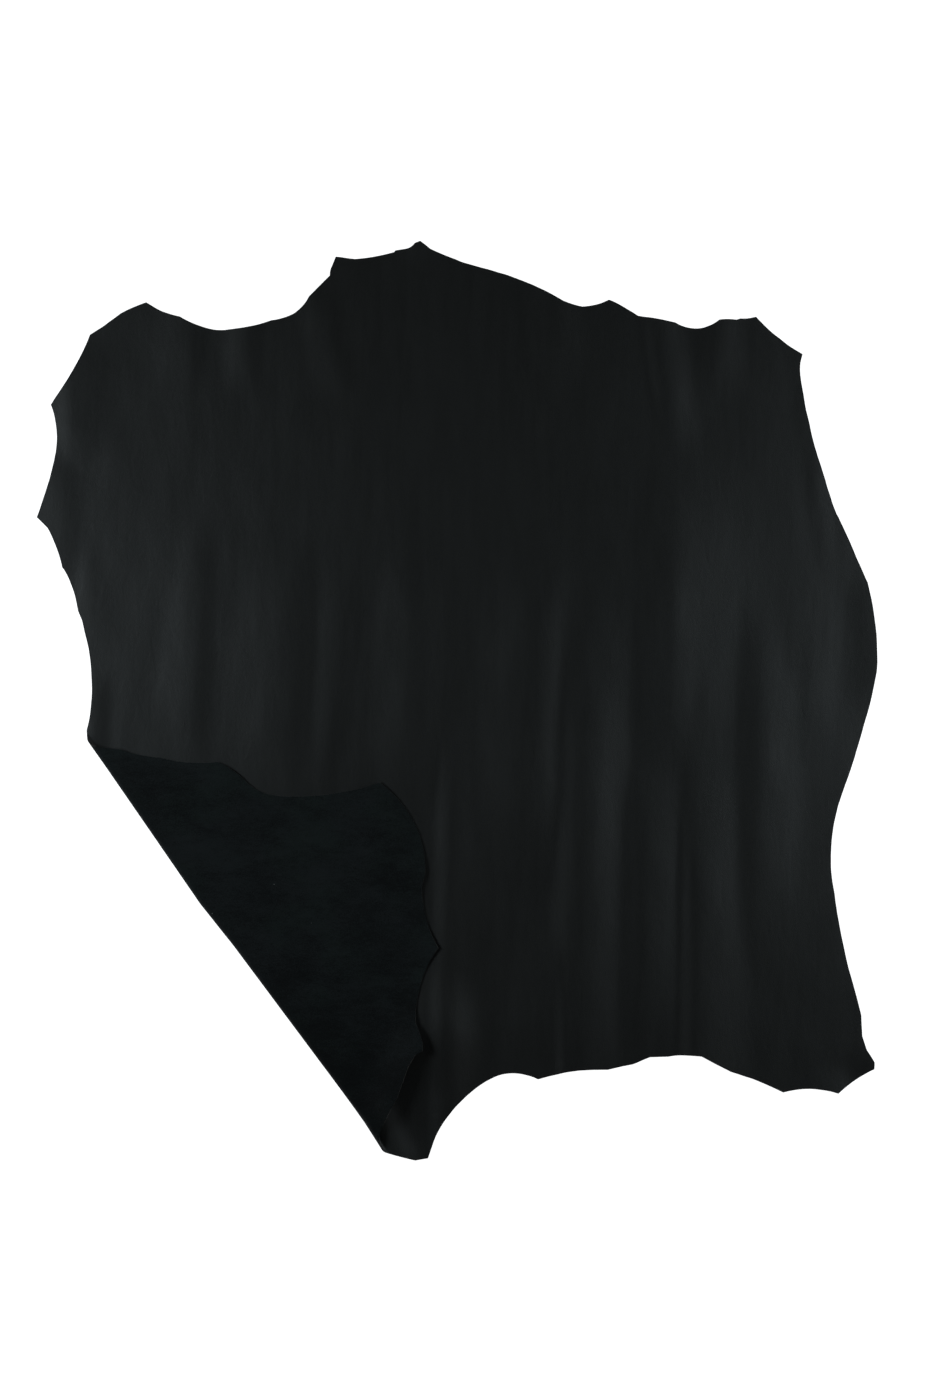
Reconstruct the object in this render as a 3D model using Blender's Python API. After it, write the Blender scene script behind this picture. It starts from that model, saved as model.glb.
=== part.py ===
"""A whole calf leather hide that lies flat with its smooth grain side up and its left hind shank
folded over on top, so that the folded corner shows the suede side. It is one cut piece of leather.

Tables and lengths are in millimetres, and the mesh is made in metres. Z is up, the neck is at +Y,
and the origin is the middle of the lying hide's bounding box, on the surface that it lies on."""

import collections
import math

import bmesh
import bpy
import numpy as np
from mathutils.geometry import delaunay_2d_cdt

MM = 0.001

# The sheet
THICKNESS = 1.5
LAYER_GAP = 1.0  # between the folded corner and the leather under it

# The fold. Its line is the outer edge of the bend as seen from above. The section's radii are those
# of the suede side, which is outermost.
FOLD_HEAD = np.array((-549.0, -65.0))
FOLD_FOOT = np.array((-117.0, -659.0))
FOLD_BOW_REACH = 70.0  # how far in from the bend its bow is felt
BEND_RADIUS = 7.0
BEND_TURN = math.radians(192)  # past half a turn, so that the corner comes down again
SETTLE_RADIUS = 80.0  # of the opposite curve that lays the corner flat
STEP_TURN = math.radians(16)
SETTLE_STEPS = 3

# The faceted sheet
GRID_STEP = 27.0
ROW_STEP = 30.0  # between points along the fold's rows
EDGE_STEP = 34.0
EDGE_ERROR = 0.7  # between an arc of the cut edge and its chords
EDGE_CLEAR = 10.0  # between the cut edge and the first inner points
ROW_OVERRUN = 45.0  # how far the fold's rows run on past its ends
WELD = 1e-3
STRAIGHT_TURN = 1e-6  # radians, under which an arc is a straight line
FLUTE_FADE = 0.35  # share of a flute's length in which it rises or dies away

Bow = collections.namedtuple("Bow", "along out")
Corner = collections.namedtuple("Corner", "x y bow")
Flute = collections.namedtuple("Flute", "x_head y_head x_foot y_foot left right height")
Lift = collections.namedtuple("Lift", "x y reach height")

# How far the bend stands out of a straight line, at places along it from its head.
#    along, out
FOLD_BOW = [
    (0, 0),
    (160, 4),
    (290, 7.5),
    (370, 4),
    (620, 1),
    (700, 0.5),
    (752, 3),
    (790, 0),
]

# The cut edge, clockwise as seen from above, from the head of the fold. Each row is a corner and how
# far the edge bows outward on its way to the next corner; a negative bow is hollow.
#    x, y, bow
LEFT_FLANK = [
    (-555, -44, -2),
    (-547, 16, -1),
    (-552, 76, 0),
    (-562, 120, 0),
    (-568, 134, -3),
    (-590, 196, 0),
    (-592.5, 199, -3),
    (-613.5, 258, 0),
]
LEFT_SHOULDER = [
    (-629.5, 274, -2),
    (-601, 372, -4.5),
    (-608.5, 443, -4),
    (-550, 548, 0),
    (-528, 562, 0),
    (-504, 580.5, 1),
]
LEFT_NECK_BAY = [
    (-466, 597, -2.5),
    (-415, 575, -5),
    (-348, 556, -2),
    (-278, 570, -2),
    (-243, 581, -2),
    (-222, 605, 0),
    (-190.5, 637, 1),
    (-187.5, 651, 0),
]
NECK = [
    (-181.5, 665, 0),
    (-153, 661.5, -1.5),
    (-94, 672, 0),
    (-92.5, 674.5, 0),
    (-73.5, 678, -1),
    (-63, 685.5, 0),
]
RIGHT_NECK_SLOPE = [
    (-55, 688.5, 0),
    (-40, 676.5, 0),
    (6, 658, 0),
    (72, 639, 3),
    (159, 599, -1),
    (188, 590, -2),
    (228, 600, 1),
    (271.5, 577, 0),
]
RIGHT_NECK_BAY = [
    (327, 566, -10.5),
    (393, 570, 1),
    (419, 570.5, 0),
    (424.5, 572.5, -1),
]
RIGHT_SHOULDER = [
    (448.5, 575.5, -4),
    (517.5, 519, -2),
    (515, 484, -3),
    (549, 338, 0),
    (568, 280, 1),
    (600, 211, 0),
]
RIGHT_BELLY = [
    (615.5, 176, 1),
    (628.5, 100, 1),
    (628.5, 43, 1),
    (614, -23, 2),
    (572, -155, -8),
    (565.5, -287, -1),
    (586.5, -400, 1),
    (606, -473, 0),
]
RIGHT_SHANK = [
    (607.5, -503, 0),
    (614, -524, 0),
    (625, -542, 0),
    (625, -552, -2),
    (571, -589, -6),
    (489, -588.5, -2),
]
RUMP = [
    (409.5, -557, 0),
    (366, -532.5, -2),
    (317, -534, 0),
    (289.5, -535, 0),
    (264, -545.5, 0),
    (225, -553, 0),
    (184.5, -553, -1.5),
]
LEFT_SHANK = [
    (121.5, -566, -7),
    (57, -565, -13.5),
    (-36, -664, 0),
    (-43.5, -685.5, 0),
    (-62.5, -688.5, 0),
    (-67.5, -687, 0),
]
BODY_EDGE = (
    LEFT_FLANK
    + LEFT_SHOULDER
    + LEFT_NECK_BAY
    + NECK
    + RIGHT_NECK_SLOPE
    + RIGHT_NECK_BAY
    + RIGHT_SHOULDER
    + RIGHT_BELLY
    + RIGHT_SHANK
    + RUMP
    + LEFT_SHANK
)

# The folded corner's edge as it lies on top, from the foot of the fold round to its head.
#    x, y, bow
CORNER_INNER_EDGE = [
    (-114, -644, -1.5),
    (-88.5, -590, 0),
    (-72, -544, 0),
    (-62, -527, 0),
    (-51, -521, 0),
    (-51, -511, 1),
    (-61, -482, -10),
    (-27.5, -370, -6.5),
    (-53, -278, 0),
    (-48, -259, 19),
]
CORNER_UPPER_EDGE = [
    (-116, -122, -8.5),
    (-270, -142, -5.5),
    (-319.5, -118, 2.5),
    (-358.5, -91.5, -4.5),
    (-445.5, -86, -2),
    (-505.5, -72.5, 0),
    (-541, -69, 0),
]
FOLDED_EDGE = CORNER_INNER_EDGE + CORNER_UPPER_EDGE

# Soft flutes in the lying leather: the crest's two ends, how far its flanks reach to the left and to
# the right of a crest that runs from the neck down, and its height.
#    x_head, y_head, x_foot, y_foot, left, right, height
FLANK_FLUTES = [
    (-386, 300, -402, -120, 62, 34, 2.3),
    (-248, 270, -260, -190, 106, 56, 3.9),
    (-154, 275, -208, -190, 58, 32, 2.7),
    (-56, 285, -74, -190, 68, 60, 4.3),
    (0, 80, -22, -860, 36, 50, 3.8),
    (-12, -380, -14, -800, 36, 50, 4.4),
]
BACK_FLUTES = [
    (120, 290, 106, -330, 104, 74, 7.8),
    (199, 240, 175, -800, 62, 84, 8.4),
    (322, 430, 300, -170, 60, 124, 4.2),
    (328, 420, 326, -150, 30, 44, 2.6),
    (284, -40, 276, -620, 50, 74, 5.0),
    (361, -20, 357, -860, 36, 92, 7.2),
    (464, 190, 448, -460, 46, 76, 4.0),
    (524, 230, 522, -120, 70, 60, 1.2),
    (144, -300, 140, -860, 100, 30, 8.4),
    (20, -190, 20, -400, 50, 90, 1.6),
]
NECK_FLUTES = [
    (-314, 700, -312, 440, 44, 24, 2.8),
    (-403, 720, -411, 440, 56, 44, 2.2),
    (-214, 640, -166, 440, 44, 30, 2.4),
    (270, 760, 338, 320, 30, 48, 4.0),
    (387, 720, 392, 430, 40, 52, 3.0),
    (146, 760, 146, 420, 44, 52, 3.0),
]
EDGE_FLUTES = [
    (-578, 570, -574, 330, 36, 80, 2.8),
    (-604, 400, -600, 150, 100, 50, 1.6),
    (-558, 260, -540, 60, 24, 30, 0.6),
    (-545, 60, -549, -140, 22, 32, 2.6),
    (508, 560, 566, 130, 24, 22, 0.8),
    (636, 230, 636, -40, 62, 30, 3.2),
    (-138, -586, -76, -724, 40, 42, 6.2),
]
FLUTES = FLANK_FLUTES + BACK_FLUTES + NECK_FLUTES + EDGE_FLUTES

# Places where the leather stands in a broad hump, or its edge curls up off the surface.
#    x, y, reach, height
LIFTS = [
    (270, 150, 260, 5.0),
    (-680, 360, 270, 4.5),
    (-40, -496, 104, 8.0),
    (-84, -712, 84, 8.0),
    (-52, 706, 60, 4.0),
    (636, -540, 64, 5.0),
    (566, -612, 72, 5.0),
]
# Places where only the folded corner, which lies on top, stands up off the leather under it.
#    x, y, reach, height
CORNER_LIFTS = [
    (-52, -534, 84, 18.0),
    (-84, -606, 92, 22.0),
    (-24, -370, 54, 3.5),
    (-46, -262, 50, 3.5),
    (-116, -120, 60, 2.5),
    (-340, -100, 60, 2.0),
]
CORNER_EASE = 45.0  # how far past the bend the corner's own lifts take to come in

LEATHER_COLOUR = (0.010, 0.011, 0.011, 1.0)
LEATHER_ROUGHNESS = 0.48

FOLD_LENGTH = float(np.hypot(*(FOLD_FOOT - FOLD_HEAD)))
ALONG = (FOLD_FOOT - FOLD_HEAD) / FOLD_LENGTH
INWARD = np.array((-ALONG[1], ALONG[0]))


def clear_scene():
    for thing in list(bpy.data.objects):
        bpy.data.objects.remove(thing, do_unlink=True)


def fold_section():
    """The suede side's path across the fold, as (travel, distance in, height). Travel starts where
    the leather leaves the surface, and distance is from the outer edge of the bend."""
    turns = np.linspace(0, BEND_TURN, round(BEND_TURN / STEP_TURN) + 1)
    distance = list(BEND_RADIUS * (1 - np.sin(turns)))
    height = list(BEND_RADIUS * (1 - np.cos(turns)))
    slope = BEND_TURN - math.pi
    rest = 2 * THICKNESS + LAYER_GAP
    settle_drop = SETTLE_RADIUS * (1 - math.cos(slope))
    straight = (height[-1] - rest - settle_drop) / math.sin(slope)
    settle_from = distance[-1] + straight * math.cos(slope)
    for left in np.linspace(slope, 0, SETTLE_STEPS + 1):
        distance.append(settle_from + SETTLE_RADIUS * (math.sin(slope) - math.sin(left)))
        height.append(rest + SETTLE_RADIUS * (1 - math.cos(left)))
    path = np.column_stack((distance, height))
    steps = np.hypot(*np.diff(path, axis=0).T)
    return np.concatenate(([0], np.cumsum(steps))), path[:, 0], path[:, 1]


TRAVEL, DISTANCE, HEIGHT = fold_section()


def fold_frame(points):
    """Each point's place along the fold and its distance in from the fold's line."""
    from_head = points - FOLD_HEAD
    return from_head @ ALONG, from_head @ INWARD


def unfolded(points):
    """Points of the folded corner, laid out in the plane of the uncut leather."""
    along, distance = fold_frame(points)
    top = int(np.argmin(DISTANCE))
    beyond = np.maximum(distance - DISTANCE[-1], 0)
    travel = np.interp(distance, DISTANCE[top:], TRAVEL[top:]) + beyond
    return FOLD_HEAD + np.outer(along, ALONG) + np.outer(BEND_RADIUS - travel, INWARD)


def arc(start, end, bow):
    """Points from start, up to but without end, on an arc that bows to the left by bow."""
    chord = end - start
    length = np.hypot(*chord)
    if abs(bow) < EDGE_ERROR:
        count = max(1, math.ceil(length / (2 * EDGE_STEP)))
    else:
        count = max(2, math.ceil(length / EDGE_STEP), math.ceil(math.sqrt(abs(bow) / EDGE_ERROR)))
    share = np.arange(count) / count
    left = np.array((-chord[1], chord[0])) / length
    half_turn = 2 * math.atan(2 * bow / length)
    if abs(half_turn) < STRAIGHT_TURN:
        return start + np.outer(share, chord)
    radius = length / (2 * math.sin(half_turn))
    angle = half_turn * (1 - 2 * share)
    across = radius * (np.cos(angle) - math.cos(half_turn))
    forward = length / 2 - radius * np.sin(angle)
    return start + np.outer(forward, chord / length) + np.outer(across, left)


def flat_outline():
    """The hide's outline as it was cut, before the fold."""
    rows = [Corner(*row) for row in BODY_EDGE + FOLDED_EDGE]
    corners = np.array([(row.x, row.y) for row in rows], float)
    first_folded = len(BODY_EDGE)
    corners[first_folded:] = unfolded(corners[first_folded:])
    following = np.roll(corners, -1, axis=0)
    sides = [arc(a, b, row.bow) for a, b, row in zip(corners, following, rows)]
    return np.concatenate(sides)


def edge_distance(points, outline):
    """Each point's distance from the outline."""
    nearest = np.full(len(points), np.inf)
    for start, end in zip(outline, np.roll(outline, -1, axis=0)):
        side = end - start
        share = np.clip((points - start) @ side / (side @ side), 0, 1)
        gap = np.hypot(*(points - start - np.outer(share, side)).T)
        nearest = np.minimum(nearest, gap)
    return nearest


def grid_points(outline):
    """Evenly staggered points, away from the cut edge and from the fold's own rows."""
    row_gap = GRID_STEP * math.sqrt(3) / 2
    low = outline.min(axis=0)
    high = outline.max(axis=0)
    rows = []
    for index, y in enumerate(np.arange(low[1], high[1], row_gap)):
        shift = GRID_STEP / 2 * (index % 2)
        x = np.arange(low[0] + shift, high[0], GRID_STEP)
        rows.append(np.column_stack((x, np.full(len(x), y))))
    points = np.concatenate(rows)
    travel = BEND_RADIUS - fold_frame(points)[1]
    off_fold = (travel < -GRID_STEP / 2) | (travel > TRAVEL[-1] + GRID_STEP / 2)
    clear = edge_distance(points, outline) > EDGE_CLEAR
    return points[off_fold & clear]


def fold_rows():
    """One line of points along the fold for each step of its section."""
    along = np.arange(-ROW_OVERRUN, FOLD_LENGTH + ROW_OVERRUN, ROW_STEP)
    lines = []
    for travel in TRAVEL:
        start = FOLD_HEAD + (BEND_RADIUS - travel) * INWARD
        lines.append(start + np.outer(along, ALONG))
    return lines


def flat_mesh():
    """The uncut plane of the hide as points and triangles."""
    outline = flat_outline()
    points = list(outline)
    edges = []
    for line in fold_rows():
        first = len(points)
        points.extend(line)
        edges.extend((first + i, first + i + 1) for i in range(len(line) - 1))
    points.extend(grid_points(outline))
    anticlockwise = list(range(len(outline)))[::-1]
    made = delaunay_2d_cdt([tuple(p) for p in points], edges, [anticlockwise], 0, WELD)
    inside = [face for face, source in zip(made[2], made[5]) if source]
    return np.array([tuple(p) for p in made[0]]), inside


def smooth_step(share):
    share = np.clip(share, 0, 1)
    return share * share * (3 - 2 * share)


def relief(points):
    """How far each place is raised by the flutes, which blend where they overlap, and by the lifts."""
    crests = np.zeros(len(points))
    for row in FLUTES:
        flute = Flute(*row)
        head = np.array((flute.x_head, flute.y_head))
        crest = np.array((flute.x_foot, flute.y_foot)) - head
        length = np.hypot(*crest)
        run = (points - head) @ crest / length
        across = (points - head) @ np.array((-crest[1], crest[0])) / length
        fade = FLUTE_FADE * length
        ends = smooth_step(run / fade) * smooth_step((length - run) / fade)
        share = np.where(across < 0, -across / flute.left, across / flute.right)
        crests += (flute.height * ends * (1 + np.cos(math.pi * np.clip(share, 0, 1))) / 2) ** 2
    return np.sqrt(crests) + lifted(points, LIFTS)


def lifted(points, rows):
    """How far each place is raised by rounded lifts."""
    raised = np.zeros(len(points))
    for row in rows:
        lift = Lift(*row)
        away = np.hypot(points[:, 0] - lift.x, points[:, 1] - lift.y) / lift.reach
        raised += lift.height * (1 + np.cos(math.pi * np.clip(away, 0, 1))) / 2
    return raised


def lying(flat):
    """The suede side's points as the hide lies, from their places in the uncut plane."""
    along, distance = fold_frame(flat)
    travel = BEND_RADIUS - distance
    over = travel > 0
    beyond = np.maximum(travel - TRAVEL[-1], 0)
    folded = np.interp(travel, TRAVEL, DISTANCE) + beyond
    distance = np.where(over, folded, distance)
    height = np.where(over, np.interp(travel, TRAVEL, HEIGHT), 0)
    bow = Bow(*np.transpose(FOLD_BOW))
    out = np.interp(along, bow.along, bow.out)
    distance = distance - out * np.exp(-((distance / FOLD_BOW_REACH) ** 2))
    plan = FOLD_HEAD + np.outer(along, ALONG) + np.outer(distance, INWARD)
    past_bend = smooth_step((travel - BEND_RADIUS * BEND_TURN) / CORNER_EASE)
    height += relief(plan) + past_bend * lifted(plan, CORNER_LIFTS)
    return np.column_stack((plan, height))


def leather():
    material = bpy.data.materials.new("black_leather")
    material.use_nodes = True
    shader = material.node_tree.nodes["Principled BSDF"]
    shader.inputs["Base Color"].default_value = LEATHER_COLOUR
    shader.inputs["Roughness"].default_value = LEATHER_ROUGHNESS
    shader.inputs["Metallic"].default_value = 0.0
    return material


def make_hide():
    flat, triangles = flat_mesh()
    mesh = bpy.data.meshes.new("hide")
    suede_out = [tuple(reversed(triangle)) for triangle in triangles]
    mesh.from_pydata((lying(flat) * MM).tolist(), [], suede_out)
    sheet = bmesh.new()
    sheet.from_mesh(mesh)
    loose = [vertex for vertex in sheet.verts if not vertex.link_faces]
    bmesh.ops.delete(sheet, geom=loose, context="VERTS")
    sheet.to_mesh(mesh)
    sheet.free()
    mesh.materials.append(leather())
    mesh.shade_smooth()
    hide = bpy.data.objects.new("hide", mesh)
    bpy.context.scene.collection.objects.link(hide)
    thicken = hide.modifiers.new("thickness", "SOLIDIFY")
    thicken.thickness = THICKNESS * MM
    thicken.offset = -1
    thicken.use_even_offset = True
    return hide


clear_scene()
make_hide()
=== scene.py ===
"""The looks of the leather hide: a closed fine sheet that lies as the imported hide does, grain up,
with its left hind shank folded over so that the suede shows, in plain soft light from both sides.

Tables and shapes are in millimetres, and meshes, lights and the camera are in metres."""

import collections
import math

import bmesh
import bpy
import numpy as np
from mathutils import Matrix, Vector
from mathutils.geometry import delaunay_2d_cdt


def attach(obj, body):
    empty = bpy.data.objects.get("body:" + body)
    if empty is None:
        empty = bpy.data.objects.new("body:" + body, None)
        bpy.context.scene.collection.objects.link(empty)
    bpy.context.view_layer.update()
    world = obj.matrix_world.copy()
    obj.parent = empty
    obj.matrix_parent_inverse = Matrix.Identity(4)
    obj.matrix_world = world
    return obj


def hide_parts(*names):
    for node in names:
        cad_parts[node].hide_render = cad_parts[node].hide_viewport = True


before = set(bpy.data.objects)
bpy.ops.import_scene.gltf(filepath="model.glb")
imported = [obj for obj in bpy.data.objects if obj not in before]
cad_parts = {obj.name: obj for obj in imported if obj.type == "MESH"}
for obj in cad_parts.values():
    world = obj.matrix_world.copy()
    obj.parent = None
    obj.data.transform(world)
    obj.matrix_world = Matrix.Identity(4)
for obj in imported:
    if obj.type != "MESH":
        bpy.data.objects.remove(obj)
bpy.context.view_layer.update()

MM = 0.001

# The sheet
THICKNESS = 1.5
LAYER_GAP = 1.0  # between the folded corner and the leather under it

# The fold. Its line is the outer edge of the bend as seen from above. The section's radii are those
# of the suede side, which is outermost.
FOLD_HEAD = np.array((-549.0, -65.0))
FOLD_FOOT = np.array((-117.0, -659.0))
FOLD_BOW_REACH = 70.0  # how far in from the bend its bow is felt
BEND_RADIUS = 7.0
BEND_TURN = math.radians(192)  # past half a turn, so that the corner comes down again
SETTLE_RADIUS = 80.0  # of the opposite curve that lays the corner flat

# The fine mesh
BEND_STEPS = 24
STRAIGHT_STEPS = 8
SETTLE_STEPS = 4
GRID_STEP = 6.4
ROW_STEP = 6.0  # between points along the fold's rows
EDGE_STEP = 5.0
EDGE_CLEAR = 2.6  # between the cut edge and the first inner points
ROW_OVERRUN = 45.0  # how far the fold's rows run on past its ends
WELD = 1e-3
STRAIGHT_TURN = 1e-6  # radians, under which an arc is a straight line
FLUTE_FADE = 0.35  # share of a flute's length in which it rises or dies away
SHARP_ANGLE = math.radians(50)  # the cut's corners stay sharp, and the faces are smooth

Bow = collections.namedtuple("Bow", "along out")
Corner = collections.namedtuple("Corner", "x y bow")
Flute = collections.namedtuple("Flute", "x_head y_head x_foot y_foot left right height")
Lift = collections.namedtuple("Lift", "x y reach height")
Swell = collections.namedtuple("Swell", "across along height count")
Noise = collections.namedtuple("Noise", "x y z detail rough warp")
Softbox = collections.namedtuple("Softbox", "name place watts")

# How far the bend stands out of a straight line, at places along it from its head.
#    along, out
FOLD_BOW = [
    (0, 0),
    (160, 4),
    (290, 7.5),
    (370, 4),
    (620, 1),
    (700, 0.5),
    (752, 3),
    (790, 0),
]

# The cut edge, clockwise as seen from above, from the head of the fold. Each row is a corner and how
# far the edge bows outward on its way to the next corner; a negative bow is hollow.
#    x, y, bow
LEFT_FLANK = [
    (-555, -44, -2),
    (-547, 16, -1),
    (-552, 76, 0),
    (-562, 120, 0),
    (-568, 134, -3),
    (-590, 196, 0),
    (-592.5, 199, -3),
    (-613.5, 258, 0),
]
LEFT_SHOULDER = [
    (-629.5, 274, -2),
    (-601, 372, -4.5),
    (-608.5, 443, -4),
    (-550, 548, 0),
    (-528, 562, 0),
    (-504, 580.5, 1),
]
LEFT_NECK_BAY = [
    (-466, 597, -2.5),
    (-415, 575, -5),
    (-348, 556, -2),
    (-278, 570, -2),
    (-243, 581, -2),
    (-222, 605, 0),
    (-190.5, 637, 1),
    (-187.5, 651, 0),
]
NECK = [
    (-181.5, 665, 0),
    (-153, 661.5, -1.5),
    (-94, 672, 0),
    (-92.5, 674.5, 0),
    (-73.5, 678, -1),
    (-63, 685.5, 0),
]
RIGHT_NECK_SLOPE = [
    (-55, 688.5, 0),
    (-40, 676.5, 0),
    (6, 658, 0),
    (72, 639, 3),
    (159, 599, -1),
    (188, 590, -2),
    (228, 600, 1),
    (271.5, 577, 0),
]
RIGHT_NECK_BAY = [
    (327, 566, -10.5),
    (393, 570, 1),
    (419, 570.5, 0),
    (424.5, 572.5, -1),
]
RIGHT_SHOULDER = [
    (448.5, 575.5, -4),
    (517.5, 519, -2),
    (515, 484, -3),
    (549, 338, 0),
    (568, 280, 1),
    (600, 211, 0),
]
RIGHT_BELLY = [
    (615.5, 176, 1),
    (628.5, 100, 1),
    (628.5, 43, 1),
    (614, -23, 2),
    (572, -155, -8),
    (565.5, -287, -1),
    (586.5, -400, 1),
    (606, -473, 0),
]
RIGHT_SHANK = [
    (607.5, -503, 0),
    (614, -524, 0),
    (625, -542, 0),
    (625, -552, -2),
    (571, -589, -6),
    (489, -588.5, -2),
]
RUMP = [
    (409.5, -557, 0),
    (366, -532.5, -2),
    (317, -534, 0),
    (289.5, -535, 0),
    (264, -545.5, 0),
    (225, -553, 0),
    (184.5, -553, -1.5),
]
LEFT_SHANK = [
    (121.5, -566, -7),
    (57, -565, -13.5),
    (-36, -664, 0),
    (-43.5, -685.5, 0),
    (-62.5, -688.5, 0),
    (-67.5, -687, 0),
]
BODY_EDGE = (
    LEFT_FLANK
    + LEFT_SHOULDER
    + LEFT_NECK_BAY
    + NECK
    + RIGHT_NECK_SLOPE
    + RIGHT_NECK_BAY
    + RIGHT_SHOULDER
    + RIGHT_BELLY
    + RIGHT_SHANK
    + RUMP
    + LEFT_SHANK
)

# The folded corner's edge as it lies on top, from the foot of the fold round to its head.
#    x, y, bow
CORNER_INNER_EDGE = [
    (-114, -644, -1.5),
    (-88.5, -590, 0),
    (-72, -544, 0),
    (-62, -527, 0),
    (-51, -521, 0),
    (-51, -511, 1),
    (-61, -482, -10),
    (-27.5, -370, -6.5),
    (-53, -278, 0),
    (-48, -259, 19),
]
CORNER_UPPER_EDGE = [
    (-116, -122, -8.5),
    (-270, -142, -5.5),
    (-319.5, -118, 2.5),
    (-358.5, -91.5, -4.5),
    (-445.5, -86, -2),
    (-505.5, -72.5, 0),
    (-541, -69, 0),
]
FOLDED_EDGE = CORNER_INNER_EDGE + CORNER_UPPER_EDGE

# Soft flutes in the lying leather: the crest's two ends, how far its flanks reach to the left and to
# the right of a crest that runs from the neck down, and its height.
#    x_head, y_head, x_foot, y_foot, left, right, height
FLANK_FLUTES = [
    (-386, 300, -402, -120, 62, 34, 2.3),
    (-248, 270, -260, -190, 106, 56, 3.9),
    (-154, 275, -208, -190, 58, 32, 2.7),
    (-56, 285, -74, -190, 68, 60, 4.3),
    (0, 80, -22, -860, 36, 50, 3.8),
    (-12, -380, -14, -800, 36, 50, 4.4),
]
BACK_FLUTES = [
    (120, 290, 106, -330, 104, 74, 7.8),
    (199, 240, 175, -800, 62, 84, 8.4),
    (322, 430, 300, -170, 60, 124, 4.2),
    (328, 420, 326, -150, 30, 44, 2.6),
    (284, -40, 276, -620, 50, 74, 5.0),
    (361, -20, 357, -860, 36, 92, 7.2),
    (464, 190, 448, -460, 46, 76, 4.0),
    (524, 230, 522, -120, 70, 60, 1.2),
    (144, -300, 140, -860, 100, 30, 8.4),
    (20, -190, 20, -400, 50, 90, 1.6),
]
NECK_FLUTES = [
    (-314, 700, -312, 440, 44, 24, 2.8),
    (-403, 720, -411, 440, 56, 44, 2.2),
    (-214, 640, -166, 440, 44, 30, 2.4),
    (270, 760, 338, 320, 30, 48, 4.0),
    (387, 720, 392, 430, 40, 52, 3.0),
    (146, 760, 146, 420, 44, 52, 3.0),
]
EDGE_FLUTES = [
    (-578, 570, -574, 330, 36, 80, 2.8),
    (-604, 400, -600, 150, 100, 50, 1.6),
    (-558, 260, -540, 60, 24, 30, 0.6),
    (-545, 60, -549, -140, 22, 32, 2.6),
    (508, 560, 566, 130, 24, 22, 0.8),
    (636, 230, 636, -40, 62, 30, 3.2),
    (-138, -586, -76, -724, 40, 42, 6.2),
]
FLUTES = FLANK_FLUTES + BACK_FLUTES + NECK_FLUTES + EDGE_FLUTES

# Places where the leather stands in a broad hump, or its edge curls up off the surface.
#    x, y, reach, height
LIFTS = [
    (270, 150, 260, 5.0),
    (-680, 360, 270, 4.5),
    (-40, -496, 104, 8.0),
    (-84, -712, 84, 8.0),
    (-52, 706, 60, 4.0),
    (636, -540, 64, 5.0),
    (566, -612, 72, 5.0),
]
# Places where only the folded corner, which lies on top, stands up off the leather under it.
#    x, y, reach, height
CORNER_LIFTS = [
    (-52, -534, 84, 18.0),
    (-84, -606, 92, 22.0),
    (-24, -370, 54, 3.5),
    (-46, -262, 50, 3.5),
    (-116, -120, 60, 2.5),
    (-340, -100, 60, 2.0),
]
CORNER_EASE = 45.0  # how far past the bend the corner's own lifts take to come in

# Fine unevenness: sets of random waves, longer along the back than across it.
#    across, along, height, count
SWELLS = [
    (34, 320, 0.03, 40),
    (70, 240, 0.08, 40),
    (150, 190, 0.15, 30),
]
SWELL_SEED = 11
SWELL_DEPTH = 2.0  # in times its height, how deep a trough goes before it lies on the surface

# The same for the cut edge, along its length.
#    wavelength, height
EDGE_WAVES = [
    (9, 0.10),
    (21, 0.22),
    (47, 0.35),
]
EDGE_SEED = 5

# Noises: how many features to the metre along X, Y and Z, and their detail, roughness and warp. The
# grain's tones, polish and wrinkles are drawn out along the back, which is Y.
#    x, y, z, detail, rough, warp
GRAIN_DRIFT = Noise(7, 3, 7, 2, 0.5, 0.3)
GRAIN_STREAKS = Noise(40, 4, 40, 4, 0.5, 0.0)
GRAIN_POLISH = Noise(90, 12, 90, 4, 0.6, 0.0)
GRAIN_WRINKLES = Noise(70, 26, 70, 4, 0.55, 0.8)
PEBBLE_WANDER = Noise(160, 160, 160, 2, 0.5, 0.0)
PORES = Noise(900, 900, 900, 2, 0.5, 0.0)
SUEDE_CLOUDS = Noise(14, 28, 18, 8, 0.66, 0.3)
SUEDE_PATCHES = Noise(6, 8, 6, 2, 0.5, 0.0)
SUEDE_STROKES = Noise(70, 190, 110, 5, 0.7, 0.6)
SUEDE_FIBRES = Noise(520, 1300, 900, 3, 0.65, 0.5)
SUEDE_TINTS = Noise(8, 11, 8, 5, 0.5, 0.0)
SUEDE_BRUSHED = Noise(60, 110, 60, 3, 0.6, 0.6)
SUEDE_NAP = Noise(420, 700, 420, 5, 0.7, 0.4)
EDGE_FIBRES = Noise(260, 260, 1400, 4, 0.7, 0.0)
NOISE_RANGE = (0.3, 0.7)  # where most of a noise lies

# The grain. Here and below, colours are linear, and depths are in metres.
GRAIN_DARK = (0.0098, 0.0106, 0.0100)
GRAIN_LIGHT = (0.0119, 0.0128, 0.0123)
GRAIN_TONES = (0.8, 1.2)  # the sums of drift and streaks that are dark and light
GRAIN_ROUGHNESS = (0.47, 0.51)
PEBBLES = 480  # to the metre
PEBBLE_STRAY = 0.8  # how far a pebble strays from its place, as a share of its size
PEBBLE_DEPTH = 0.00004
CREASE_WIDTH = 0.22  # from its middle to a pebble's flat top, as a share of a pebble
# Painted shade: the creases between the pebbles are darkened towards this colour.
CREASE_SHADE_COLOUR = (0.004, 0.004, 0.004)
CREASE_SHADE_TONE = 0.55  # how much of the grain's own colour is left in a crease under the painted shade
PORE_RANGE = (0.28, 0.45)
PORE_DEPTH = 0.000012
WRINKLE_DEPTH = 0.00025

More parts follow.
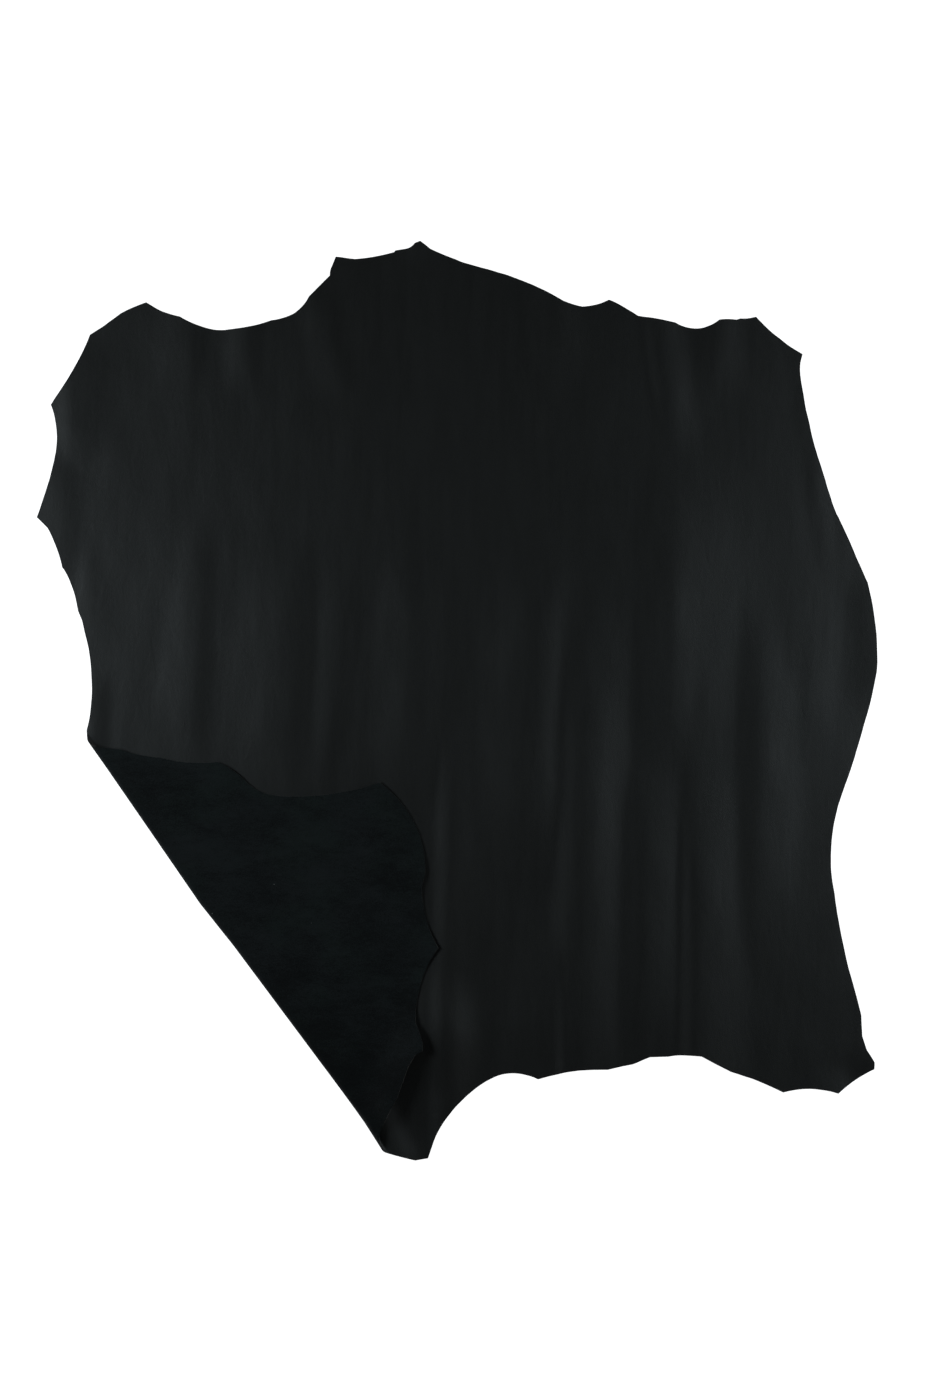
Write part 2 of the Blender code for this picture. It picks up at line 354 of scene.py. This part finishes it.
# The suede. Its tones are how much each noise lightens or darkens the mottle.
SUEDE_DARK = (0.0048, 0.0060, 0.0064)
SUEDE_TEAL = (0.0140, 0.0196, 0.0192)
SUEDE_BLUE = (0.0146, 0.0184, 0.0194)
PATCH_TONE = 0.9
STROKE_TONE = (-0.09, 0.09)
FIBRE_TONE = (-0.26, 0.26)
# Painted shade: the suede is darker towards the foot and lighter towards the fold, for the light that
# falls less on the corner's slope there.
FOOT_SHADE_REACH = (-0.62, -0.22)  # metres along Y, between which the painted shade towards the foot gives way and the suede grows lighter
FOOT_SHADE_TONE = (-0.14, 0.10)
MOTTLE_RANGE = (0.62, 1.28)
TINT_RANGE = (0.42, 0.56)
SUEDE_ROUGHNESS = 0.95
SUEDE_SHINE = {"Specular IOR Level": 0.15, "Sheen Weight": 0.06, "Sheen Roughness": 0.5}
BRUSHED_DEPTH = 0.0004
NAP_DEPTH = 0.0006
LINT = (0.16, 0.17, 0.17)
LINT_CELLS = 55.0  # to the metre
LINT_SHARE = 0.1  # of the cells that hold a speck
LINT_RADIUS = 0.045  # as a share of a cell

# The cut edge
EDGE_DARK = (0.020, 0.020, 0.019)
EDGE_LIGHT = (0.075, 0.072, 0.066)
EDGE_ROUGHNESS = 0.85
FIBRE_DEPTH = 0.0001

# The studio, in metres and watts. The walls' light fades between two heights, which are sines of the
# angle upward.
SOFTBOXES = [
    Softbox("left_softbox", (-1.7, 0.15, 1.4), 12),
    Softbox("right_softbox", (1.75, 0.15, 1.4), 10),
]
SOFTBOX_TINT = (0.88, 1.0, 1.05)
SOFTBOX_SIZE = 0.8
FLOOR_REACH = 40.0
FLOOR_GAP = 0.0005  # under the hide
FLOOR_COLOUR = (0.85, 0.85, 0.85, 1)
WALL_FADE = (0.10, 0.26)
WALL_LIGHT = (1.0, 0.02)

# The camera looks straight down. Its lens and sensor are in millimetres, and its view in metres.
LENS = 50.0
SENSOR = 36.0
VIEW_HEIGHT = 2.1
VIEW_CENTRE = (0.01425, 0.00075)

FOLD_LENGTH = float(np.hypot(*(FOLD_FOOT - FOLD_HEAD)))
ALONG = (FOLD_FOOT - FOLD_HEAD) / FOLD_LENGTH
INWARD = np.array((-ALONG[1], ALONG[0]))


def fold_section():
    """The suede side's path across the fold, as (travel, distance in, height)."""
    turns = np.linspace(0, BEND_TURN, BEND_STEPS + 1)
    distance = list(BEND_RADIUS * (1 - np.sin(turns)))
    height = list(BEND_RADIUS * (1 - np.cos(turns)))
    slope = BEND_TURN - math.pi
    rest = 2 * THICKNESS + LAYER_GAP
    settle_drop = SETTLE_RADIUS * (1 - math.cos(slope))
    straight = (height[-1] - rest - settle_drop) / math.sin(slope)
    settle_from = distance[-1] + straight * math.cos(slope)
    for share in np.arange(1, STRAIGHT_STEPS) / STRAIGHT_STEPS:
        distance.append(distance[BEND_STEPS] + share * straight * math.cos(slope))
        height.append(height[BEND_STEPS] - share * straight * math.sin(slope))
    for left in np.linspace(slope, 0, SETTLE_STEPS + 1):
        distance.append(settle_from + SETTLE_RADIUS * (math.sin(slope) - math.sin(left)))
        height.append(rest + SETTLE_RADIUS * (1 - math.cos(left)))
    path = np.column_stack((distance, height))
    steps = np.hypot(*np.diff(path, axis=0).T)
    return np.concatenate(([0], np.cumsum(steps))), path[:, 0], path[:, 1]


TRAVEL, DISTANCE, HEIGHT = fold_section()


def fold_frame(points):
    """Each point's place along the fold and its distance in from the fold's line."""
    from_head = points - FOLD_HEAD
    return from_head @ ALONG, from_head @ INWARD


def unfolded(points):
    """Points of the folded corner, laid out in the plane of the uncut leather."""
    along, distance = fold_frame(points)
    top = int(np.argmin(DISTANCE))
    beyond = np.maximum(distance - DISTANCE[-1], 0)
    travel = np.interp(distance, DISTANCE[top:], TRAVEL[top:]) + beyond
    return FOLD_HEAD + np.outer(along, ALONG) + np.outer(BEND_RADIUS - travel, INWARD)


def arc(start, end, bow):
    """Points from start, up to but without end, on an arc that bows to the left by bow."""
    chord = end - start
    length = np.hypot(*chord)
    count = max(1, math.ceil(length / EDGE_STEP))
    share = np.arange(count) / count
    left = np.array((-chord[1], chord[0])) / length
    half_turn = 2 * math.atan(2 * bow / length)
    if abs(half_turn) < STRAIGHT_TURN:
        return start + np.outer(share, chord)
    radius = length / (2 * math.sin(half_turn))
    angle = half_turn * (1 - 2 * share)
    across = radius * (np.cos(angle) - math.cos(half_turn))
    forward = length / 2 - radius * np.sin(angle)
    return start + np.outer(forward, chord / length) + np.outer(across, left)


def flat_outline():
    """The hide's outline as it was cut, before the fold, with the unevenness of the knife."""
    rows = [Corner(*row) for row in BODY_EDGE + FOLDED_EDGE]
    corners = np.array([(row.x, row.y) for row in rows], float)
    first_folded = len(BODY_EDGE)
    corners[first_folded:] = unfolded(corners[first_folded:])
    following = np.roll(corners, -1, axis=0)
    sides = [arc(a, b, row.bow) for a, b, row in zip(corners, following, rows)]
    return uneven(np.concatenate(sides))


def uneven(outline):
    """The outline, moved a little in or out by waves that close up on themselves."""
    ahead = np.roll(outline, -1, axis=0)
    chords = ahead - np.roll(outline, 1, axis=0)
    outward = np.column_stack((-chords[:, 1], chords[:, 0])) / np.hypot(*chords.T)[:, None]
    steps = np.hypot(*(ahead - outline).T)
    travel = np.concatenate(([0], np.cumsum(steps)[:-1]))
    random = np.random.default_rng(EDGE_SEED)
    out = np.zeros(len(outline))
    for wavelength, height in EDGE_WAVES:
        knots = round(steps.sum() / wavelength)
        values = random.normal(0, height, knots)
        spacing = steps.sum() / knots
        out += np.interp(travel, np.arange(knots + 1) * spacing, np.append(values, values[0]))
    return outline + outward * out[:, None]


def edge_distance(points, outline, reach):
    """Each point's distance from the outline, as far as reach."""
    nearest = np.full(len(points), reach)
    for start, end in zip(outline, np.roll(outline, -1, axis=0)):
        near = np.flatnonzero(np.abs(points - (start + end) / 2).max(axis=1) < reach + EDGE_STEP)
        side = end - start
        share = np.clip((points[near] - start) @ side / (side @ side), 0, 1)
        gap = np.hypot(*(points[near] - start - np.outer(share, side)).T)
        nearest[near] = np.minimum(nearest[near], gap)
    return nearest


def grid_points(outline):
    """Evenly staggered points, away from the cut edge and from the fold's own rows."""
    row_gap = GRID_STEP * math.sqrt(3) / 2
    low = outline.min(axis=0)
    high = outline.max(axis=0)
    rows = []
    for index, y in enumerate(np.arange(low[1], high[1], row_gap)):
        shift = GRID_STEP / 2 * (index % 2)
        x = np.arange(low[0] + shift, high[0], GRID_STEP)
        rows.append(np.column_stack((x, np.full(len(x), y))))
    points = np.concatenate(rows)
    travel = BEND_RADIUS - fold_frame(points)[1]
    off_fold = (travel < -GRID_STEP / 2) | (travel > TRAVEL[-1] + GRID_STEP / 2)
    points = points[off_fold]
    return points[edge_distance(points, outline, 2 * EDGE_CLEAR) > EDGE_CLEAR]


def fold_rows():
    """One line of points along the fold for each step of its section."""
    along = np.arange(-ROW_OVERRUN, FOLD_LENGTH + ROW_OVERRUN, ROW_STEP)
    lines = []
    for travel in TRAVEL:
        start = FOLD_HEAD + (BEND_RADIUS - travel) * INWARD
        lines.append(start + np.outer(along, ALONG))
    return lines


def flat_mesh():
    """The uncut plane of the hide as points and triangles."""
    outline = flat_outline()
    points = list(outline)
    edges = []
    for line in fold_rows():
        first = len(points)
        points.extend(line)
        edges.extend((first + i, first + i + 1) for i in range(len(line) - 1))
    points.extend(grid_points(outline))
    anticlockwise = list(range(len(outline)))[::-1]
    made = delaunay_2d_cdt([tuple(p) for p in points], edges, [anticlockwise], 0, WELD)
    inside = [face for face, source in zip(made[2], made[5]) if source]
    return np.array([tuple(p) for p in made[0]]), inside


def smooth_step(share):
    share = np.clip(share, 0, 1)
    return share * share * (3 - 2 * share)


def relief(points):
    """How far each place is raised by the flutes, which blend where they overlap, and by the lifts."""
    crests = np.zeros(len(points))
    for row in FLUTES:
        flute = Flute(*row)
        head = np.array((flute.x_head, flute.y_head))
        crest = np.array((flute.x_foot, flute.y_foot)) - head
        length = np.hypot(*crest)
        run = (points - head) @ crest / length
        across = (points - head) @ np.array((-crest[1], crest[0])) / length
        fade = FLUTE_FADE * length
        ends = smooth_step(run / fade) * smooth_step((length - run) / fade)
        share = np.where(across < 0, -across / flute.left, across / flute.right)
        crests += (flute.height * ends * (1 + np.cos(math.pi * np.clip(share, 0, 1))) / 2) ** 2
    return np.sqrt(crests) + lifted(points, LIFTS)


def lifted(points, rows):
    """How far each place is raised by rounded lifts."""
    raised = np.zeros(len(points))
    for row in rows:
        lift = Lift(*row)
        away = np.hypot(points[:, 0] - lift.x, points[:, 1] - lift.y) / lift.reach
        raised += lift.height * (1 + np.cos(math.pi * np.clip(away, 0, 1))) / 2
    return raised


def swells(points):
    """The fine unevenness, from nothing up."""
    random = np.random.default_rng(SWELL_SEED)
    total = np.zeros(len(points))
    for row in SWELLS:
        swell = Swell(*row)
        field = np.zeros(len(points))
        for _ in range(swell.count):
            pace = 2 * math.pi * random.normal(0, 1, 2) / (swell.across, swell.along)
            field += np.cos(points @ pace + random.uniform(0, 2 * math.pi))
        field *= math.sqrt(2 / swell.count)
        total += swell.height * np.maximum(field + SWELL_DEPTH, 0)
    return total


def lying(flat):
    """The suede side's points as the hide lies, from their places in the uncut plane."""
    along, distance = fold_frame(flat)
    travel = BEND_RADIUS - distance
    over = travel > 0
    beyond = np.maximum(travel - TRAVEL[-1], 0)
    folded = np.interp(travel, TRAVEL, DISTANCE) + beyond
    distance = np.where(over, folded, distance)
    height = np.where(over, np.interp(travel, TRAVEL, HEIGHT), 0)
    bow = Bow(*np.transpose(FOLD_BOW))
    out = np.interp(along, bow.along, bow.out)
    distance = distance - out * np.exp(-((distance / FOLD_BOW_REACH) ** 2))
    plan = FOLD_HEAD + np.outer(along, ALONG) + np.outer(distance, INWARD)
    past_bend = smooth_step((travel - BEND_RADIUS * BEND_TURN) / CORNER_EASE)
    height += relief(plan) + swells(plan) + past_bend * lifted(plan, CORNER_LIFTS)
    return np.column_stack((plan, height))


# The colour sockets of a Mix node, which share their names with its other kinds.
MIX_LOW = 6
MIX_HIGH = 7
MIX_RESULT = 2


class Nodes:
    """A material's nodes, added by type and linked by socket name."""

    def __init__(self, name):
        self.material = bpy.data.materials.new(name)
        self.material.use_nodes = True
        self.tree = self.material.node_tree
        self.shader = self.tree.nodes["Principled BSDF"]

    def set(self, node, inputs):
        """Fills a node's sockets: a value is written in, and another socket is linked."""
        for key, value in inputs.items():
            socket = node.inputs[key]
            if isinstance(value, bpy.types.NodeSocket):
                self.tree.links.new(value, socket)
            else:
                socket.default_value = value

    def add(self, kind, inputs=None, **settings):
        node = self.tree.nodes.new(kind)
        for key, value in settings.items():
            setattr(node, key, value)
        if inputs:
            self.set(node, inputs)
        return node

    def stretched(self, scale):
        """The object's own coordinates, in metres, multiplied by scale along each axis."""
        place = self.add("ShaderNodeTexCoord").outputs["Object"]
        return self.add("ShaderNodeMapping", {"Vector": place, "Scale": scale}).outputs["Vector"]

    def noise(self, row):
        """A noise from 0 to 1."""
        inputs = {"Vector": self.stretched((row.x, row.y, row.z)), "Scale": 1.0}
        inputs.update({"Detail": row.detail, "Roughness": row.rough, "Distortion": row.warp})
        return self.add("ShaderNodeTexNoise", inputs).outputs["Fac"]

    def spread(self, value, low, high, to_low, to_high):
        """A value's stretch from low to high, spread smoothly over to_low to to_high."""
        inputs = {"Value": value, "From Min": low, "From Max": high, "To Min": to_low, "To Max": to_high}
        node = self.add("ShaderNodeMapRange", inputs, interpolation_type="SMOOTHSTEP")
        return node.outputs["Result"]

    def maths(self, operation, first, second):
        return self.add("ShaderNodeMath", {0: first, 1: second}, operation=operation).outputs[0]

    def blend(self, share, low, high):
        """A colour between low, at share 0, and high, at share 1."""
        ends = [end if isinstance(end, bpy.types.NodeSocket) else (*end, 1) for end in (low, high)]
        inputs = {"Factor": share, MIX_LOW: ends[0], MIX_HIGH: ends[1]}
        return self.add("ShaderNodeMix", inputs, data_type="RGBA").outputs[MIX_RESULT]

    def bump(self, height, depth, under=None):
        """Raised by height, from 0 to 1, times depth in metres."""
        inputs = {"Height": height, "Strength": 1.0, "Distance": depth}
        if under is not None:
            inputs["Normal"] = under
        return self.add("ShaderNodeBump", inputs).outputs["Normal"]


def triple(value):
    return (value, value, value)


def grain_leather():
    """Black full-grain leather: fine pebbles between creases that hold painted shade, a semi-matt finish
    and faint tones.
    """
    nodes = Nodes("grain_leather")
    tone = nodes.maths("ADD", nodes.noise(GRAIN_DRIFT), nodes.noise(GRAIN_STREAKS))
    colour = nodes.blend(nodes.spread(tone, *GRAIN_TONES, 0, 1), GRAIN_DARK, GRAIN_LIGHT)
    pebble = pebbles(nodes)
    # Painted shade: the creases between the pebbles are darkened.
    colour = nodes.blend(nodes.spread(pebble, 0, 1, CREASE_SHADE_TONE, 1), CREASE_SHADE_COLOUR, colour)

    pores = nodes.spread(nodes.noise(PORES), *PORE_RANGE, 0, 1)
    normal = nodes.bump(nodes.noise(GRAIN_WRINKLES), WRINKLE_DEPTH)
    normal = nodes.bump(pebble, PEBBLE_DEPTH, normal)
    normal = nodes.bump(pores, PORE_DEPTH, normal)
    gloss = nodes.spread(nodes.noise(GRAIN_POLISH), *NOISE_RANGE, *GRAIN_ROUGHNESS)
    nodes.set(nodes.shader, {"Base Color": colour, "Roughness": gloss, "Normal": normal})
    return nodes.material


def pebbles(nodes):
    """Rounded cells of uneven shape, from 0 in the creases between them to 1 on top."""
    place = nodes.add("ShaderNodeTexCoord").outputs["Object"]
    step = {0: nodes.noise(PEBBLE_WANDER), 1: triple(PEBBLE_STRAY / PEBBLES), 2: place}
    pushed = nodes.add("ShaderNodeVectorMath", step, operation="MULTIPLY_ADD").outputs[0]
    inputs = {"Vector": pushed, "Scale": PEBBLES, "Randomness": 1.0}
    cells = nodes.add("ShaderNodeTexVoronoi", inputs, feature="DISTANCE_TO_EDGE")
    return nodes.spread(cells.outputs["Distance"], 0, CREASE_WIDTH, 0, 1)


def suede():
    """The flesh side: dark teal-black suede with cloudy patches of nap, painted shade towards the foot
    and a few specks of lint.
    """
    nodes = Nodes("suede")
    tint = nodes.spread(nodes.noise(SUEDE_TINTS), *TINT_RANGE, 0, 1)
    raised = nodes.blend(tint, SUEDE_TEAL, SUEDE_BLUE)
    colour = nodes.blend(suede_mottle_and_shade(nodes), SUEDE_DARK, raised)
    colour = nodes.blend(lint_specks(nodes), colour, LINT)
    normal = nodes.bump(nodes.noise(SUEDE_BRUSHED), BRUSHED_DEPTH)
    normal = nodes.bump(nodes.noise(SUEDE_NAP), NAP_DEPTH, normal)
    nodes.set(nodes.shader, {"Base Color": colour, "Roughness": SUEDE_ROUGHNESS, "Normal": normal})
    nodes.set(nodes.shader, SUEDE_SHINE)
    return nodes.material


def suede_mottle_and_shade(nodes):
    """From 0, dark, to 1, light: clouds and patches, strokes and fibres, and painted shade that darkens
    it towards the foot.
    """
    patches = nodes.maths("MULTIPLY", nodes.noise(SUEDE_PATCHES), PATCH_TONE)
    mottle = nodes.maths("ADD", nodes.noise(SUEDE_CLOUDS), patches)
    strokes = nodes.spread(nodes.noise(SUEDE_STROKES), *NOISE_RANGE, *STROKE_TONE)
    mottle = nodes.maths("ADD", mottle, strokes)
    fibres = nodes.spread(nodes.noise(SUEDE_FIBRES), *NOISE_RANGE, *FIBRE_TONE)
    mottle = nodes.maths("ADD", mottle, fibres)
    place = nodes.add("ShaderNodeSeparateXYZ", {"Vector": nodes.stretched(triple(1))})
    # Painted shade: darker towards the foot, lighter towards the fold.
    foot_shade = nodes.spread(place.outputs["Y"], *FOOT_SHADE_REACH, *FOOT_SHADE_TONE)
    return nodes.spread(nodes.maths("ADD", mottle, foot_shade), *MOTTLE_RANGE, 0, 1)


def lint_specks(nodes):
    """1 on a few small specks of lint, and 0 elsewhere."""
    inputs = {"Vector": nodes.stretched(triple(1)), "Scale": LINT_CELLS, "Randomness": 1.0}
    cells = nodes.add("ShaderNodeTexVoronoi", inputs)
    chance = nodes.add("ShaderNodeSeparateColor", {"Color": cells.outputs["Color"]})
    few = nodes.maths("GREATER_THAN", chance.outputs["Red"], 1 - LINT_SHARE)
    small = nodes.maths("LESS_THAN", cells.outputs["Distance"], LINT_RADIUS)
    return nodes.maths("MULTIPLY", few, small)


def cut_edge():
    """The knife's cut: fibrous, and a little lighter than the dyed faces."""
    nodes = Nodes("cut_edge")
    fibres = nodes.noise(EDGE_FIBRES)
    colour = nodes.blend(nodes.spread(fibres, *NOISE_RANGE, 0, 1), EDGE_DARK, EDGE_LIGHT)
    normal = nodes.bump(fibres, FIBRE_DEPTH)
    nodes.set(nodes.shader, {"Base Color": colour, "Roughness": EDGE_ROUGHNESS, "Normal": normal})
    return nodes.material


def sheet_mesh():
    """The hide's suede side as it lies, without the points that the cut leaves over."""
    flat, triangles = flat_mesh()
    mesh = bpy.data.meshes.new("hide_sheet")
    suede_out = [tuple(reversed(triangle)) for triangle in triangles]
    mesh.from_pydata((lying(flat) * MM).tolist(), [], suede_out)
    sheet = bmesh.new()
    sheet.from_mesh(mesh)
    loose = [vertex for vertex in sheet.verts if not vertex.link_faces]
    bmesh.ops.delete(sheet, geom=loose, context="VERTS")
    sheet.to_mesh(mesh)
    sheet.free()
    return mesh


def thicken(piece):
    """Gives a sheet its thickness for good, with a second material on its grain side and a third
    along its cut edge."""
    modifier = piece.modifiers.new("thickness", "SOLIDIFY")
    modifier.thickness = THICKNESS * MM
    modifier.offset = -1
    modifier.use_even_offset = True
    modifier.material_offset = 1
    modifier.material_offset_rim = 2
    graph = bpy.context.evaluated_depsgraph_get()
    solid = bpy.data.meshes.new_from_object(piece.evaluated_get(graph))
    piece.modifiers.clear()
    piece.data = solid


def make_hide():
    mesh = sheet_mesh()
    hide = bpy.data.objects.new("hide_sheet", mesh)
    bpy.context.scene.collection.objects.link(hide)
    for material in (suede(), grain_leather(), cut_edge()):
        mesh.materials.append(material)
    thicken(hide)
    hide.data.shade_smooth()
    hide.data.set_sharp_from_angle(angle=SHARP_ANGLE)
    return hide


def make_floor():
    mesh = bpy.data.meshes.new("floor")
    signs = [(-1, -1), (1, -1), (1, 1), (-1, 1)]
    corners = [(x * FLOOR_REACH, y * FLOOR_REACH, -FLOOR_GAP) for x, y in signs]
    mesh.from_pydata(corners, [], [(0, 1, 2, 3)])
    floor = bpy.data.objects.new("floor", mesh)
    bpy.context.scene.collection.objects.link(floor)
    nodes = Nodes("white_floor")
    inputs = {"Base Color": FLOOR_COLOUR, "Roughness": 0.9, "Specular IOR Level": 0}
    inputs.update({"Emission Color": (1, 1, 1, 1), "Emission Strength": 1.0})
    nodes.set(nodes.shader, inputs)
    mesh.materials.append(nodes.material)


def make_softbox(softbox):
    """A square lamp that faces the middle of the hide."""
    data = bpy.data.lights.new(softbox.name, "AREA")
    data.shape = "SQUARE"
    data.size = SOFTBOX_SIZE
    data.energy = softbox.watts
    data.color = SOFTBOX_TINT
    lamp = bpy.data.objects.new(softbox.name, data)
    lamp.location = softbox.place
    lamp.rotation_euler = (-Vector(softbox.place)).to_track_quat("-Z", "Y").to_euler()
    bpy.context.scene.collection.objects.link(lamp)


def make_studio():
    """Soft light from both sides, and a dim room whose walls are white low down."""
    for softbox in SOFTBOXES:
        make_softbox(softbox)
    world = bpy.data.worlds.new("studio")
    world.use_nodes = True
    tree = world.node_tree
    around = tree.nodes.new("ShaderNodeTexCoord")
    split = tree.nodes.new("ShaderNodeSeparateXYZ")
    fade = tree.nodes.new("ShaderNodeMapRange")
    tree.links.new(around.outputs["Generated"], split.inputs["Vector"])
    tree.links.new(split.outputs["Z"], fade.inputs["Value"])
    ranges = ("From Min", "From Max", "To Min", "To Max")
    for key, value in zip(ranges, WALL_FADE + WALL_LIGHT):
        fade.inputs[key].default_value = value
    tree.links.new(fade.outputs["Result"], tree.nodes["Background"].inputs["Color"])
    bpy.context.scene.world = world
    bpy.context.scene.view_settings.view_transform = "Standard"


def make_camera():
    data = bpy.data.cameras.new("camera")
    data.sensor_fit = "VERTICAL"
    data.sensor_height = SENSOR
    data.sensor_width = SENSOR
    data.lens = LENS
    camera = bpy.data.objects.new("camera", data)
    camera.location = (*VIEW_CENTRE, VIEW_HEIGHT * LENS / SENSOR)
    bpy.context.scene.collection.objects.link(camera)
    bpy.context.scene.camera = camera


make_camera()
make_studio()
make_floor()
hide = make_hide()
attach(hide, "root")
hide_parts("hide")
